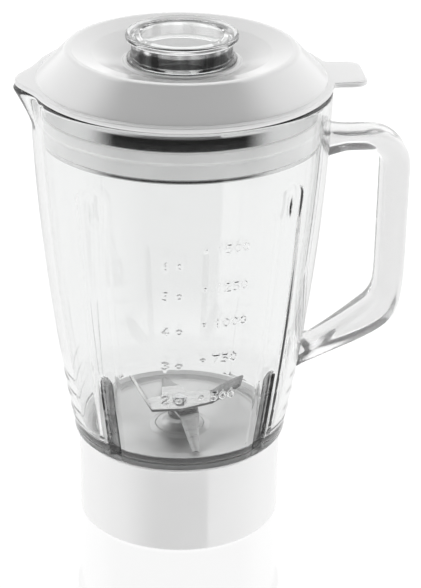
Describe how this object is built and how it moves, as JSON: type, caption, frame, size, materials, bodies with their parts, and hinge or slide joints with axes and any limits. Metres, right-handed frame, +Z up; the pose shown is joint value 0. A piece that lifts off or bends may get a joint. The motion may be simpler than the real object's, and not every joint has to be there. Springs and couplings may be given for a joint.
{
  "type": "countertop blender jug assembly",
  "caption": "Tapered glass blender jug with handle, spout and raised measuring dots on a white screw-on drive collar, with white lid and clear measuring cap.",
  "frame": {"origin": "centre of the drive collar's bottom face, on the axis of the drive shaft", "axes": "+Z up along the drive shaft, +X towards the handle, -X towards the spout"},
  "size_m": [0.2, 0.1496, 0.2623],
  "materials": {
    "white_gloss": "gloss",
    "grey_plastic": "satin",
    "pale_plastic": "satin",
    "screw_steel": "satin",
    "housing_steel": "turned",
    "dish_steel": "spun",
    "blade_steel": "ground",
    "bush_bronze": "sintered",
    "seal_rubber": "matte",
    "black_rubber": "matte",
    "white_silicone": "satin",
    "dark_nylon": "satin",
    "plug_chrome": "polished",
    "jug_glass": "clear",
    "cap_clear": "clear"
  },
  "bodies": {
    "base": {"base_collar": "white_gloss", "machine_ring": "grey_plastic", "ring_screws": "screw_steel"},
    "blade_unit": {"blade_carrier": "pale_plastic", "jug_seal": "seal_rubber", "floor_dish": "dish_steel", "dish_seal": "seal_rubber", "bearing_housing": "housing_steel", "housing_nut": "screw_steel", "upper_bush": "bush_bronze", "lower_bush": "bush_bronze", "shaft_seal": "black_rubber"},
    "rotor": {"drive_shaft": "housing_steel", "drive_coupling": "black_rubber", "retaining_clip": "screw_steel", "thrust_washer": "dark_nylon", "lower_blade": "blade_steel", "blade_spacer": "housing_steel", "upper_blade": "blade_steel", "blade_nut": "screw_steel"},
    "jug": {"glass_jug": "jug_glass"},
    "lid": {"lid_cover": "white_gloss", "lid_plug": "plug_chrome", "lid_seal": "white_silicone"},
    "cap": {"measuring_cap": "cap_clear"}
  },
  "joints": [
    {"name": "collar_turn", "type": "hinge", "parent": "base", "child": "blade_unit", "pos_m": [0, 0, 0.026], "axis": [0, 0, 1], "range_deg": [0, 45]},
    {"name": "jug_rise", "type": "slide", "parent": "blade_unit", "child": "jug", "axis": [0, 0, 1], "range_m": [0, 0.00301]},
    {"name": "blade_spin", "type": "hinge", "parent": "blade_unit", "child": "rotor", "pos_m": [0, 0, 0.04], "axis": [0, 0, 1], "continuous": true},
    {"name": "lid_lift", "type": "slide", "parent": "jug", "child": "lid", "axis": [0, 0, 1], "range_m": [0, 0.05]},
    {"name": "cap_lift", "type": "slide", "parent": "lid", "child": "cap", "axis": [0, 0, 1], "range_m": [0, 0.045]}
  ],
  "couplings": [
    {"joint": "jug_rise", "follows": "collar_turn", "m_per_rad": 0.0038197}
  ]
}
